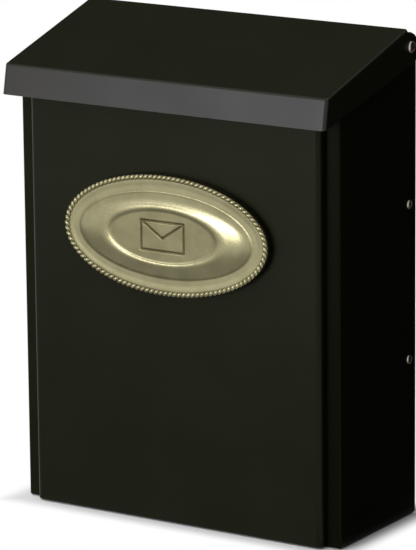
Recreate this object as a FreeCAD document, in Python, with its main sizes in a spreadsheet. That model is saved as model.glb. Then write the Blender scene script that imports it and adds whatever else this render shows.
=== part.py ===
import FreeCAD, Part
import math
import os
import Sketcher

# Wall mounted post box of folded sheet steel: X runs across, Y towards the wall, Z up.
# The wall plane is Y = 0 and each piece is drawn above the box's bottom edge, at Z = 0.
# Each piece's placement then puts the centre of the four wall screws at the origin.
SIZES = {
    "box_width": 247.0,
    "box_depth": 98.0,
    "sheet": 0.8,
    "bend": 1.6,
    "front_flange": 14.0,
    "screws_height": 165.0,
    "screws_across": 152.4,
    "screws_apart": 190.0,
    "screw_hole": 6.5,
    "fit_gap": 0.15,
    "running_gap": 0.08,
    "panel_flange": 15.0,
    "panel_flange_drop": 14.0,
    "cap_drop": 4.9856,
    "cap_run": 18.0,
    "cap_reach": 46.0,
    "cap_lip": 5.0,
    "side_rivet_setback": 9.0,
    "side_rivet_lower": 108.0,
    "side_rivet_upper": 213.5,
    "side_rivet_shank": 3.2,
    "side_rivet_head": 6.0,
    "rivet_rise": 0.28,
    "rivet_edge": 0.07,
    "rivet_tail": 0.8,
    "rivet_tail_end": 0.8,
    "rivet_tail_length": 0.3,
    "pivot_setback": 9.5,
    "pivot_drop": 13.423,
    "pivot_shank": 4.0,
    "pivot_head": 8.0,
    "washer_rim": 9.0,
    "lid_gap": 0.7,
    "lid_overhang": 16.9,
    "roof_front_height": 302.2,
    "roof_slope": 16.0,
    "roof_back_gap": 13.6,
    "lip_length": 20.6,
    "lip_lean": 11.0,
    "lid_bend": 2.2,
    "lid_corner": 3.0,
    "ear_radius": 8.9,
    "ear_corner": 6.0,
    "side_flange_drop": 13.4,
    "lid_rest_gap": 0.35,
    "header_drop": 20.6,
    "header_flange": 10.0,
    "header_top_flange": 14.0,
    "door_width": 225.5,
    "door_proud": 7.0,
    "door_bottom": 0.3,
    "door_head_gap": 1.2,
    "door_gap": 0.35,
    "door_bend": 4.5,
    "pin_radius": 1.3,
    "hinge_setback": 3.5,
    "knuckle_spacing": 90.0,
    "box_knuckle": 30.0,
    "door_knuckle": 50.0,
    "knuckle_gap": 0.5,
    "pin_end": 3.0,
    "lock_rise": 11.9,
    "lock_head_radius": 7.5,
    "lock_head": 2.0,
    "barrel_radius": 6.0,
    "barrel_length": 15.0,
    "plug_radius": 4.5,
    "tail_radius": 3.0,
    "key_slot": 1.2,
    "key_height": 5.6,
    "key_depth": 7.5,
    "screw_bore": 6.0,
    "nut_radius": 9.4,
    "nut_thick": 3.0,
    "washer_radius": 8.648,
    "lock_washer": 0.6,
    "cam_thick": 1.6,
    "cam_length": 24.0,
    "cam_width": 10.0,
    "cam_corner": 3.0,
    "screw_radius": 1.5,
    "screw_head_radius": 3.8,
    "screw_head": 2.0,
    "screw_top_radius": 3.04,
    "screw_edge": 1.2,
    "screw_length": 5.25,
    "catch_thick": 1.2,
    "catch_left": 16.0,
    "catch_arm": 9.5,
    "catch_width": 24.0,
    "catch_drop": 13.0,
    "catch_gap": 0.8,
    "plate_long": 163.0,
    "plate_high": 80.0,
    "plate_drop": 83.9,
    "plate_rise": 7.0,
    "plate_wall": 1.4,
    "stud_radius": 1.5,
    "stud_spacing": 96.0,
    "stud_length": 4.4,
    "push_nut_radius": 5.0,
    "push_nut_thick": 0.5,
    "push_nut_crease": 3.0,
    "rope_width": 3.4,
    "rope_slant": 38.0,
    "rope_strands": 104,
    "seat_width": 3.74,
    "band_start": 5.44,
    "rim_rise": 3.15,
}

# Lengths below this count as none
TINY = 1e-3

doc = FreeCAD.newDocument("PostBox")
sheet = doc.addObject("Spreadsheet::Sheet", "Sizes")
for row, (alias, number) in enumerate(SIZES.items(), start=1):
    sheet.set(f"A{row}", alias)
    sheet.set(f"B{row}", str(number))
    sheet.setAlias(f"B{row}", alias)
doc.recompute()

# Lines and planes that several pieces share, as formulas of the sheet's sizes
HALF = "(Sizes.box_width / 2)"
INNER_HALF = "(Sizes.box_width / 2 - Sizes.sheet)"
FRONT = "(-Sizes.box_depth)"
SLOPE = "tan(Sizes.roof_slope)"
UP = "cos(Sizes.roof_slope)"
PIVOT_Y = "(-Sizes.pivot_setback)"
LID_HALF = "(Sizes.box_width / 2 + Sizes.lid_gap + Sizes.sheet)"
ROOF_FRONT = "(-Sizes.box_depth - Sizes.lid_overhang)"
ROLL = "(Sizes.pin_radius + Sizes.running_gap + Sizes.sheet)"
BORE = "(Sizes.pin_radius + Sizes.running_gap)"
HINGE_Y = "(-Sizes.box_depth - Sizes.hinge_setback)"
HINGE_Z = f"(Sizes.door_bottom + {ROLL})"
DOOR_FACE = "(-Sizes.box_depth - Sizes.door_proud)"
DOOR_BACK = "(-Sizes.box_depth - Sizes.door_gap)"
HEADER_FACE = "(-Sizes.box_depth + Sizes.sheet)"
CAM_FRONT = f"({HEADER_FACE} + Sizes.barrel_length + Sizes.running_gap)"
CAM_BACK = f"({CAM_FRONT} + Sizes.cam_thick)"
FAR = "(Sizes.roof_front_height + Sizes.box_depth)"


def value(formula):
    """The number that a formula of the sheet's sizes gives."""
    return float(sheet.evalExpression(formula))


def roof_line(across, below="0"):
    """Height of the roof's top face at a place from the wall, less a depth square to it."""
    return f"(Sizes.roof_front_height + (({across}) - {ROOF_FRONT}) * {SLOPE} - ({below}) / {UP})"


HEADER_Z = "(Sizes.roof_front_height - Sizes.header_drop)"
DOOR_TOP = f"({HEADER_Z} - Sizes.door_head_gap)"
LOCK_Z = f"({HEADER_Z} + Sizes.lock_rise)"
PLATE_Z = f"({DOOR_TOP} - Sizes.plate_drop)"
PIVOT_Z = f"({roof_line(PIVOT_Y)} - Sizes.pivot_drop)"
CAP_Z = f"({roof_line('(-Sizes.cap_run)')} - Sizes.cap_drop)"
PANEL_FLANGE_Z = f"({PIVOT_Z} - Sizes.panel_flange_drop)"
SIDE_FLANGE_Z = f"({PIVOT_Z} - Sizes.side_flange_drop)"


def new_piece(label):
    """A body that stands on the box's bottom edge, lowered so that the wall screws lie about the origin."""
    body = doc.addObject("PartDesign::Body", label)
    body.Label = label
    body.setExpression("Placement.Base.z", "-Sizes.screws_height")
    return body


def new_sketch(body, name, role, lift=None):
    """A sketch on one of the body's own planes, moved along the plane's normal by a formula."""
    sketch = body.newObject("Sketcher::SketchObject", name)
    plane = [item for item in body.Origin.OriginFeatures if item.Role == role][0]
    sketch.AttachmentSupport = [(plane, "")]
    sketch.MapMode = "FlatFace"
    if lift is not None:
        sketch.setExpression("AttachmentOffset.Base.z", lift)
    return sketch


def bind(sketch, kind, *where, formula):
    """One dimension of a sketch, tied to a formula."""
    index = sketch.addConstraint(Sketcher.Constraint(kind, *where, value(formula)))
    sketch.setExpression(f"Constraints[{index}]", formula)


def add_polygon(sketch, points):
    """A closed outline whose corners are pairs of formulas."""
    first = sketch.GeometryCount
    count = len(points)
    corners = [FreeCAD.Vector(value(across), value(up), 0) for across, up in points]
    for index in range(count):
        line = Part.LineSegment(corners[index], corners[(index + 1) % count])
        sketch.addGeometry(line, False)
    for index in range(count):
        after = first + (index + 1) % count
        sketch.addConstraint(Sketcher.Constraint("Coincident", first + index, 2, after, 1))
    for index, (across, up) in enumerate(points):
        bind(sketch, "DistanceX", -1, 1, first + index, 1, formula=across)
        bind(sketch, "DistanceY", -1, 1, first + index, 1, formula=up)


def add_circle(sketch, across, up, radius):
    """A circle whose centre and radius are formulas."""
    index = sketch.GeometryCount
    centre = FreeCAD.Vector(value(across), value(up), 0)
    sketch.addGeometry(Part.Circle(centre, FreeCAD.Vector(0, 0, 1), value(radius)), False)
    bind(sketch, "DistanceX", -1, 1, index, 3, formula=across)
    bind(sketch, "DistanceY", -1, 1, index, 3, formula=up)
    bind(sketch, "Radius", index, formula=radius)


def polygon(body, name, points, role="YZ_Plane", lift=None):
    sketch = new_sketch(body, name, role, lift)
    add_polygon(sketch, points)
    return sketch


def box_outline(low, high):
    """The four corners of an upright rectangle from its lowest and highest corner."""
    return [(low[0], low[1]), (high[0], low[1]), (high[0], high[1]), (low[0], high[1])]


def extrude(body, name, sketch, length, kind="PartDesign::Pad", middle=True, flip=False):
    """A pad or pocket of a sketch, and for a pocket the proof that it cut something."""
    before = body.Shape.Volume if body.Tip else 0.0
    feature = body.newObject(kind, name)
    feature.Profile = sketch
    feature.setExpression("Length", length)
    feature.Midplane = middle
    feature.Reversed = flip
    doc.recompute()
    if kind == "PartDesign::Pocket" and feature.Shape.Volume > before - TINY:
        raise RuntimeError(f"{body.Label}: {name} cuts nothing")
    return feature


def cut(body, name, sketch, length, middle=True, flip=False):
    return extrude(body, name, sketch, length, "PartDesign::Pocket", middle, flip)


def fillet(body, name, base, radius, chosen):
    """A fillet on the edges of a feature for which the test holds."""
    edges = [f"Edge{number}" for number, edge in enumerate(base.Shape.Edges, start=1) if chosen(edge)]
    if not edges:
        raise RuntimeError(f"{body.Label}: {name} finds no edge")
    feature = body.newObject("PartDesign::Fillet", name)
    feature.Base = (base, edges)
    feature.setExpression("Radius", radius)
    doc.recompute()
    if feature.Shape.isNull():
        raise RuntimeError(f"{body.Label}: {name} can't round its edges")
    return feature


def straight(edge):
    """True for a straight edge; the poles of round corners have no length."""
    return edge.Length > TINY and edge.Curve.TypeId == "Part::GeomLine"


def along(edge, direction):
    """True for a straight edge that runs along X, Y or Z."""
    return straight(edge) and abs(getattr(edge.tangentAt(edge.FirstParameter), direction)) > 0.999


def near(edge, **places):
    """True where the edge's middle has the coordinates given, X by its size alone."""
    middle = edge.CenterOfMass
    for axis, place in places.items():
        found = abs(middle.x) if axis == "x" else getattr(middle, axis)
        if abs(found - place) > TINY:
            return False
    return True


def turn(body, name, points):
    """A full turn of an outline in the XZ plane about the upright axis."""
    sketch = polygon(body, f"{name}Outline", points, "XZ_Plane")
    feature = body.newObject("PartDesign::Revolution", name)
    feature.Profile = sketch
    feature.ReferenceAxis = (sketch, ["V_Axis"])
    feature.Angle = 360
    doc.recompute()
    return feature


def place(body, across, depth, height, axis, angle):
    """Puts a piece that was turned about its own upright axis where it belongs."""
    body.Placement.Rotation = FreeCAD.Rotation(FreeCAD.Vector(*axis), angle)
    body.setExpression("Placement.Base.x", across)
    body.setExpression("Placement.Base.y", depth)
    body.setExpression("Placement.Base.z", f"({height}) - Sizes.screws_height")


def side_holes(body, name, spots, radius, span):
    """Round holes along X through both sides at once."""
    sketch = new_sketch(body, name, "YZ_Plane")
    for across, up in spots:
        add_circle(sketch, across, up, radius)
    return cut(body, f"{name}Cut", sketch, span)


# The plate's dome: shares of the half length and half height, and of the plate's rise
DOME = [(0.86, 0.722, 0.25), (0.842, 0.700, 0.40), (0.825, 0.680, 0.62), (0.78, 0.635, 0.80),
        (0.70, 0.56, 0.93), (0.60, 0.48, 1.0), (0.545, 0.447, 0.98), (0.53, 0.435, 0.88)]

SIDE_RIVETS = [("(-Sizes.side_rivet_setback)", "Sizes.side_rivet_lower"),
               ("(-Sizes.side_rivet_setback)", "Sizes.side_rivet_upper")]
SIDE_RIVET_HOLE = "(Sizes.side_rivet_shank / 2 + Sizes.running_gap)"
PIVOT_HOLE = "(Sizes.pivot_shank / 2 + Sizes.running_gap)"


def make_body_wrap():
    """Both sides, floor, front flanges and hinge knuckles, folded from one sheet."""
    body = new_piece("body_wrap")
    over = f"({PIVOT_Z} + Sizes.pivot_setback / {UP} + Sizes.pivot_setback * {SLOPE})"
    front_top = f"({over} - Sizes.box_depth * {SLOPE})"
    kick = f"({HINGE_Z} + {ROLL})"
    outline = polygon(body, "SideOutline", [(FRONT, "0"), ("0", "0"), ("0", over), (FRONT, front_top)])
    extrude(body, "Block", outline, "Sizes.box_width")
    inside = polygon(body, "InsideOutline", box_outline((HEADER_FACE, "Sizes.sheet"), ("Sizes.sheet", FAR)))
    cut(body, "Inside", inside, f"2 * {INNER_HALF}")
    doorway = polygon(body, "DoorwayOutline", box_outline(
        (f"({FRONT} - Sizes.sheet)", kick), (f"({HEADER_FACE} + Sizes.sheet)", FAR)))
    hollow = cut(body, "Doorway", doorway, "Sizes.box_width - 2 * Sizes.front_flange")
    wide, deep, thin = value(HALF), value(FRONT), value("Sizes.sheet")
    crown = fillet(body, "Crown", hollow, "Sizes.pivot_setback", lambda edge: (
        along(edge, "x") and near(edge, y=0, z=value(over))))
    outer = fillet(body, "OuterBends", crown, "Sizes.bend", lambda edge: (
        (along(edge, "y") and near(edge, x=wide, z=0))
        or (along(edge, "z") and near(edge, x=wide, y=deep))
        or (along(edge, "x") and near(edge, y=deep, z=0))))
    fillet(body, "InnerBends", outer, "Sizes.bend - Sizes.sheet", lambda edge: (
        (along(edge, "y") and near(edge, x=wide - thin, z=thin))
        or (along(edge, "z") and near(edge, x=wide - thin, y=deep + thin))
        or (along(edge, "x") and near(edge, y=deep + thin, z=thin))))
    tab = polygon(body, "TabOutline", box_outline(
        (HINGE_Y, f"({kick} - Sizes.sheet)"), (f"({FRONT} + Sizes.sheet / 2)", kick)),
        lift="-Sizes.knuckle_spacing")
    tab_pad = extrude(body, "Tab", tab, "Sizes.box_knuckle")
    roll_pad = add_knuckle(body, "-Sizes.knuckle_spacing", "Sizes.box_knuckle")
    repeat(body, [tab_pad, roll_pad], "2 * Sizes.knuckle_spacing", 3)
    side_holes(body, "RivetHoles", SIDE_RIVETS, SIDE_RIVET_HOLE, "Sizes.box_width + Sizes.box_depth")
    side_holes(body, "PivotHoles", [(PIVOT_Y, PIVOT_Z)], PIVOT_HOLE,
               "Sizes.box_width + Sizes.box_depth")
    return body


def add_knuckle(body, middle, length):
    """One rolled hinge knuckle about the pin."""
    ring = new_sketch(body, "KnuckleOutline", "YZ_Plane", middle)
    add_circle(ring, HINGE_Y, HINGE_Z, ROLL)
    add_circle(ring, HINGE_Y, HINGE_Z, BORE)
    return extrude(body, "Knuckle", ring, length)


def repeat(body, features, length, count):
    """Copies of features in a row along X."""
    row = body.newObject("PartDesign::LinearPattern", "Row")
    row.Originals = features
    axis = [item for item in body.Origin.OriginFeatures if item.Role == "X_Axis"][0]
    row.Direction = (axis, [""])
    row.setExpression("Length", length)
    row.Occurrences = count
    body.Tip = row
    doc.recompute()
    return row


def make_back_panel():
    """Back plate with riveted side flanges and a cap that narrows the way in."""
    body = new_piece("back_panel")
    width = f"2 * ({INNER_HALF} - Sizes.fit_gap)"
    low = "(Sizes.bend + Sizes.fit_gap)"
    drop = f"({CAP_Z} - (Sizes.cap_reach - Sizes.cap_run) * {SLOPE})"
    under = f"({CAP_Z} - Sizes.sheet)"
    profile = polygon(body, "PanelOutline", [
        ("0", low), ("0", CAP_Z), ("(-Sizes.cap_run)", CAP_Z),
        ("(-Sizes.cap_reach)", drop), ("(-Sizes.cap_reach)", f"({drop} - Sizes.cap_lip)"),
        ("(-Sizes.cap_reach + Sizes.sheet)", f"({drop} - Sizes.cap_lip)"),
        ("(-Sizes.cap_reach + Sizes.sheet)", f"({drop} + Sizes.sheet * {SLOPE} - Sizes.sheet / {UP})"),
        ("(-Sizes.cap_run + Sizes.sheet * tan(Sizes.roof_slope / 2))", under),
        ("(-Sizes.sheet)", under), ("(-Sizes.sheet)", low)])
    extrude(body, "Panel", profile, width)
    flange_low = f"({low} + Sizes.bend)"
    flange = polygon(body, "FlangeOutline", box_outline(
        ("(-Sizes.panel_flange)", flange_low), ("(-Sizes.sheet / 2)", PANEL_FLANGE_Z)))
    extrude(body, "Flanges", flange, width)
    between = polygon(body, "BetweenOutline", box_outline(
        ("(-Sizes.panel_flange - Sizes.sheet)", low),
        ("(-Sizes.sheet)", f"({PANEL_FLANGE_Z} + Sizes.sheet)")))
    open_pan = cut(body, "Between", between, f"({width}) - 2 * Sizes.sheet")
    top = value(CAP_Z)
    fillet(body, "CapBend", open_pan, "Sizes.bend", lambda edge: along(edge, "x") and near(edge, y=0, z=top))
    side_holes(body, "RivetHoles", SIDE_RIVETS, SIDE_RIVET_HOLE, "Sizes.box_width + Sizes.box_depth")
    screws = new_sketch(body, "ScrewHoles", "XZ_Plane")
    for side in (-1, 1):
        for level in (-1, 1):
            add_circle(screws, f"({side} * Sizes.screws_across / 2)",
                       f"(Sizes.screws_height + {level} * Sizes.screws_apart / 2)", "(Sizes.screw_hole / 2)")
    cut(body, "ScrewHolesCut", screws, "4 * Sizes.sheet")
    return body


def make_header_rail():
    """Fixed channel across the front, behind the lid's lip, that carries the lock."""
    body = new_piece("header_rail")
    gap = "(Sizes.sheet + Sizes.lid_rest_gap)"
    inner = "(2 * Sizes.sheet + Sizes.lid_rest_gap)"
    low_back = f"({HEADER_FACE} + Sizes.header_flange)"
    top_back = f"({HEADER_FACE} + Sizes.header_top_flange)"
    web_back = f"({HEADER_FACE} + Sizes.sheet)"
    profile = polygon(body, "ChannelOutline", [
        (HEADER_FACE, HEADER_Z), (low_back, HEADER_Z),
        (low_back, f"({HEADER_Z} + Sizes.sheet)"), (web_back, f"({HEADER_Z} + Sizes.sheet)"),
        (web_back, roof_line(web_back, inner)), (top_back, roof_line(top_back, inner)),
        (top_back, roof_line(top_back, gap)), (HEADER_FACE, roof_line(HEADER_FACE, gap))])
    channel = extrude(body, "Channel", profile, "Sizes.box_width - 2 * (Sizes.bend + Sizes.fit_gap)")
    face, low = value(HEADER_FACE), value(HEADER_Z)
    fillet(body, "LowerBend", channel, "Sizes.bend", lambda edge: (
        along(edge, "x") and near(edge, y=face, z=low)))
    hole = new_sketch(body, "LockHole", "XZ_Plane")
    add_circle(hole, "0", LOCK_Z, "(Sizes.barrel_radius + Sizes.running_gap)")
    cut(body, "LockHoleCut", hole, "4 * Sizes.box_depth")
    return body


def make_lid_hood():
    """Sloping roof with a leaning front lip and side flanges, folded from one sheet."""
    body = new_piece("lid_hood")
    lip_y = f"({ROOF_FRONT} - Sizes.lip_length * sin(Sizes.lip_lean))"
    lip_z = "(Sizes.roof_front_height - Sizes.lip_length * cos(Sizes.lip_lean))"
    back = "(-Sizes.roof_back_gap)"
    lower = f"(({SIDE_FLANGE_Z} - {lip_z}) / ({back} - {lip_y}))"
    ear_back = "(-Sizes.pivot_setback + Sizes.ear_radius)"
    profile = polygon(body, "HoodOutline", [
        (lip_y, lip_z), (ROOF_FRONT, "Sizes.roof_front_height"),
        (back, roof_line(back)), (back, SIDE_FLANGE_Z)])
    extrude(body, "Block", profile, f"2 * {LID_HALF}")
    share = "(1 + sin(Sizes.lip_lean + Sizes.roof_slope))"
    corner_y = f"({ROOF_FRONT} + Sizes.sheet * (cos(Sizes.lip_lean) + sin(Sizes.roof_slope)) / {share})"
    corner_z = (f"(Sizes.roof_front_height - Sizes.sheet * (sin(Sizes.lip_lean) + "
                f"cos(Sizes.roof_slope)) / {share})")
    reach = "(2 * Sizes.lip_length)"
    beyond = "(Sizes.roof_back_gap)"
    foot_z = f"({corner_z} - {reach} * cos(Sizes.lip_lean))"
    inside = polygon(body, "InsideOutline", [
        (f"({corner_y} - {reach} * sin(Sizes.lip_lean))", foot_z), (corner_y, corner_z),
        (beyond, roof_line(beyond, "Sizes.sheet")), (beyond, foot_z)])
    cut(body, "Inside", inside, f"2 * ({LID_HALF} - Sizes.sheet)")
    lap = f"({back} - 2 * Sizes.sheet)"
    crown = f"({PIVOT_Z} + Sizes.ear_radius)"
    heel = f"({lip_z} + ({ear_back} - {lip_y}) * {lower})"
    ear = polygon(body, "EarOutline", [
        (lap, f"({lip_z} + ({lap} - {lip_y}) * {lower})"), (ear_back, heel), (ear_back, crown), (lap, crown)])
    ears = extrude(body, "Ears", ear, f"2 * {LID_HALF}")
    rear, high = value(ear_back), value(crown)
    top = fillet(body, "EarCrown", ears, "Sizes.ear_radius", lambda edge: (
        along(edge, "x") and near(edge, y=rear, z=high)))
    low = value(heel)
    fillet(body, "EarHeel", top, "Sizes.ear_corner", lambda edge: (
        along(edge, "x") and near(edge, y=rear, z=low)))
    between = polygon(body, "BetweenOutline", box_outline(
        (f"({lap} - Sizes.sheet)", foot_z), (beyond, f"({crown} + Sizes.sheet)")))
    clear = cut(body, "BetweenEars", between, f"2 * ({LID_HALF} - Sizes.sheet)")
    bend_lid(body, clear, "Inner", f"({LID_HALF} - Sizes.sheet)", (corner_y, corner_z), "Sizes.sheet")
    bend_lid(body, body.Tip, "Outer", LID_HALF, (ROOF_FRONT, "Sizes.roof_front_height"), "0")
    side_holes(body, "PivotHoles", [(PIVOT_Y, PIVOT_Z)], PIVOT_HOLE,
               "Sizes.box_width + Sizes.box_depth")
    return body


def bend_lid(body, base, name, half, corner, less):
    """Bends on one face of the hood: down the lip's ends, along the roof's sides and its front."""
    wide, front, high = value(half), value(corner[0]), value(corner[1])
    long_side = value("Sizes.box_depth - Sizes.roof_back_gap")

    def on_side(edge):
        return straight(edge) and abs(abs(edge.CenterOfMass.x) - wide) < TINY and edge.BoundBox.XLength < TINY

    def touches(edge):
        return any(abs(end.Point.y - front) < TINY and abs(end.Point.z - high) < TINY
                   for end in edge.Vertexes)

    ends = fillet(body, f"{name}LipEnds", base, f"Sizes.lid_corner - {less}", lambda edge: (
        on_side(edge) and touches(edge) and edge.CenterOfMass.z < high))
    fillet(body, f"{name}RoofBends", ends, f"Sizes.lid_bend - {less}", lambda edge: (
        (on_side(edge) and edge.CenterOfMass.z > high and edge.Length > long_side)
        or (along(edge, "x") and near(edge, y=front, z=high))))


def make_front_door():
    """Shallow pan that closes the front, with its hinge knuckles rolled from the lower flange."""
    body = new_piece("front_door")
    outline = polygon(body, "PanOutline",
                      box_outline((DOOR_FACE, "Sizes.door_bottom"), (DOOR_BACK, DOOR_TOP)))
    extrude(body, "Block", outline, "Sizes.door_width")
    wide, face = value("Sizes.door_width / 2"), value(DOOR_FACE)
    low, high = value("Sizes.door_bottom"), value(DOOR_TOP)
    thin = value("Sizes.sheet")
    inside = polygon(body, "InsideOutline", box_outline(
        (f"({DOOR_FACE} + Sizes.sheet)", "(Sizes.door_bottom + Sizes.sheet)"),
        (FRONT, f"({DOOR_TOP} - Sizes.sheet)")))
    pan = cut(body, "Inside", inside, "Sizes.door_width - 2 * Sizes.sheet")
    inner = fillet(body, "InnerSideBends", pan, "Sizes.door_bend - Sizes.sheet", lambda edge: (
        along(edge, "z") and near(edge, x=wide - thin, y=face + thin)))
    inner = fillet(body, "InnerEndBends", inner, "Sizes.bend - Sizes.sheet", lambda edge: (
        along(edge, "x") and (near(edge, y=face + thin, z=low + thin)
                              or near(edge, y=face + thin, z=high - thin))))
    upright = fillet(body, "SideBends", inner, "Sizes.door_bend", lambda edge: (
        along(edge, "z") and near(edge, x=wide, y=face)))
    fillet(body, "EndBends", upright, "Sizes.bend", lambda edge: (
        along(edge, "x") and (near(edge, y=face, z=low) or near(edge, y=face, z=high))))
    trim = polygon(body, "TrimOutline", box_outline(
        (HINGE_Y, "(-Sizes.sheet)"), (f"({FRONT} + Sizes.sheet)", HINGE_Z)))
    cut(body, "Trim", trim, "Sizes.door_width + 2 * Sizes.sheet")
    notch = polygon(body, "NotchOutline", box_outline(
        (f"({HINGE_Y} - {ROLL} - Sizes.door_gap)", "(-Sizes.sheet)"),
        (f"({FRONT} + Sizes.sheet)", HINGE_Z)), lift="-Sizes.knuckle_spacing")
    gap = cut(body, "Notch", notch, "Sizes.box_knuckle + 2 * Sizes.knuckle_gap")
    repeat(body, [gap], "2 * Sizes.knuckle_spacing", 3)
    knuckle = add_knuckle(body, "-Sizes.knuckle_spacing / 2", "Sizes.door_knuckle")
    repeat(body, [knuckle], "Sizes.knuckle_spacing", 2)
    studs = new_sketch(body, "StudHoles", "XZ_Plane")
    for side in (-1, 1):
        add_circle(studs, f"({side} * Sizes.stud_spacing / 2)", PLATE_Z,
                   "(Sizes.stud_radius + Sizes.running_gap)")
    cut(body, "StudHolesCut", studs, "4 * Sizes.box_depth")
    return body


def make_hinge_pin():
    """Wire pin through all the knuckles."""
    body = new_piece("hinge_pin")
    ends = new_sketch(body, "PinOutline", "YZ_Plane")
    add_circle(ends, HINGE_Y, HINGE_Z, "Sizes.pin_radius")
    extrude(body, "Pin", ends, "2 * Sizes.knuckle_spacing + Sizes.box_knuckle + 2 * Sizes.pin_end")
    return body


def make_door_catch():
    """Bent strip under the door's top flange that the lock's cam drops in front of."""
    body = new_piece("door_catch")
    top = f"({DOOR_TOP} - Sizes.sheet)"
    back = f"({CAM_BACK} + Sizes.catch_gap + Sizes.catch_thick)"
    start = f"({DOOR_FACE} + 2 * Sizes.sheet)"
    foot = f"({top} - Sizes.catch_drop)"
    under = f"({top} - Sizes.catch_thick)"
    side = polygon(body, "StripOutline", [
        (start, top), (back, top), (back, foot), (f"({back} - Sizes.catch_thick)", foot),
        (f"({back} - Sizes.catch_thick)", under), (start, under)],
        lift="(Sizes.catch_width / 2 - Sizes.catch_left)")
    extrude(body, "Strip", side, "Sizes.catch_width")
    window = polygon(body, "WindowOutline", box_outline(
        ("(-Sizes.catch_left + Sizes.catch_arm)", f"({FRONT} + Sizes.sheet)"),
        ("Sizes.box_width", f"({back} - Sizes.catch_thick)")), "XY_Plane", lift=f"({top} + Sizes.sheet)")
    opened = cut(body, "Window", window, "Sizes.catch_thick + 2 * Sizes.sheet", middle=False)
    rear, high = value(back), value(top)
    fillet(body, "Fold", opened, "Sizes.catch_thick", lambda edge: (
        along(edge, "x") and abs(edge.CenterOfMass.y - rear) < TINY
        and abs(edge.CenterOfMass.z - high) < TINY))
    return body


def along_y(body, depth, height=LOCK_Z, across="0"):
    """Turns a piece's own axis towards the front."""
    place(body, across, depth, height, (1, 0, 0), 90)


def make_lock_barrel():
    """Sleeve of the lock, with its round head in front of the header rail."""
    body = new_piece("lock_barrel")
    bore = "(Sizes.plug_radius + Sizes.running_gap)"
    turn(body, "Barrel", [
        (bore, "(-Sizes.barrel_length)"), ("Sizes.barrel_radius", "(-Sizes.barrel_length)"),
        ("Sizes.barrel_radius", "0"), ("Sizes.lock_head_radius", "0"),
        ("Sizes.lock_head_radius", "(Sizes.lock_head / 2)"),
        ("(Sizes.lock_head_radius - Sizes.lock_head / 2)", "Sizes.lock_head"), (bore, "Sizes.lock_head")])
    along_y(body, HEADER_FACE)
    return body


def make_lock_plug():
    """Turning core of the lock with its key slot, tail and screw hole."""
    body = new_piece("lock_plug")
    tail_end = "(-Sizes.barrel_length - Sizes.running_gap - Sizes.cam_thick)"
    hole = "(Sizes.screw_radius + Sizes.running_gap)"
    bottom = "(-Sizes.barrel_length + Sizes.screw_bore)"
    turn(body, "Plug", [
        (hole, tail_end), ("Sizes.tail_radius", tail_end),
        ("Sizes.tail_radius", "(-Sizes.barrel_length)"), ("Sizes.plug_radius", "(-Sizes.barrel_length)"),
        ("Sizes.plug_radius", "(Sizes.lock_head - Sizes.running_gap)"),
        ("0", "(Sizes.lock_head - Sizes.running_gap)"), ("0", bottom), (hole, bottom)])
    slot = polygon(body, "KeySlot", box_outline(
        ("(-Sizes.key_slot / 2)", "(-Sizes.key_height / 2)"),
        ("(Sizes.key_slot / 2)", "(Sizes.key_height / 2)")), "XY_Plane", lift="Sizes.lock_head")
    cut(body, "KeySlotCut", slot, "Sizes.key_depth", middle=False)
    along_y(body, HEADER_FACE)
    return body


def hexagon(radius):
    """The corners of a six-sided outline about the origin."""
    return [(f"({radius} * cos({60 * step}))", f"({radius} * sin({60 * step}))") for step in range(6)]


def make_lock_washer():
    """Flat washer behind the header rail."""
    body = new_piece("lock_washer")
    ring = new_sketch(body, "RingOutline", "XY_Plane")
    add_circle(ring, "0", "0", "Sizes.washer_radius")
    add_circle(ring, "0", "0", "(Sizes.barrel_radius + Sizes.running_gap)")
    extrude(body, "Ring", ring, "Sizes.lock_washer", middle=False)
    along_y(body, f"({HEADER_FACE} + Sizes.sheet + Sizes.lock_washer)")
    return body


def make_lock_nut():
    """Six-sided nut that clamps the barrel to the header rail."""
    body = new_piece("lock_nut")
    ring = new_sketch(body, "NutOutline", "XY_Plane")
    add_polygon(ring, hexagon("Sizes.nut_radius"))
    add_circle(ring, "0", "0", "(Sizes.barrel_radius + Sizes.running_gap)")
    extrude(body, "Nut", ring, "Sizes.nut_thick", middle=False)
    along_y(body, f"({HEADER_FACE} + Sizes.sheet + Sizes.lock_washer + Sizes.nut_thick)")
    return body


def make_lock_cam():
    """Flat arm on the plug's tail: it points sideways when open and down when locked."""
    body = new_piece("lock_cam")
    arm = polygon(body, "ArmOutline", box_outline(
        ("0", "(-Sizes.cam_width / 2)"), ("Sizes.cam_length", "(Sizes.cam_width / 2)")), "XY_Plane")
    blade = extrude(body, "Arm", arm, "Sizes.cam_thick", middle=False)
    tip = value("Sizes.cam_length")
    fillet(body, "Tip", blade, "Sizes.cam_corner", lambda edge: (
        along(edge, "z") and abs(edge.CenterOfMass.x - tip) < TINY))
    boss = new_sketch(body, "BossOutline", "XY_Plane")
    add_circle(boss, "0", "0", "(Sizes.cam_width / 2)")
    extrude(body, "Boss", boss, "Sizes.cam_thick", middle=False)
    eye = new_sketch(body, "EyeOutline", "XY_Plane")
    add_circle(eye, "0", "0", "(Sizes.tail_radius + Sizes.running_gap)")
    cut(body, "Eye", eye, "4 * Sizes.cam_thick")
    along_y(body, CAM_BACK)
    return body


def make_cam_screw():
    """Screw that holds the cam on the plug's tail."""
    body = new_piece("cam_screw")
    turn(body, "Screw", [
        ("0", "(-Sizes.screw_head)"), ("Sizes.screw_top_radius", "(-Sizes.screw_head)"),
        ("Sizes.screw_head_radius", "(-Sizes.screw_edge)"), ("Sizes.screw_head_radius", "0"),
        ("Sizes.screw_radius", "0"), ("Sizes.screw_radius", "Sizes.screw_length"),
        ("0", "Sizes.screw_length")])
    along_y(body, CAM_BACK)
    return body


# Steps of a rivet head's arc
DOME_STEPS = 4


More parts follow.
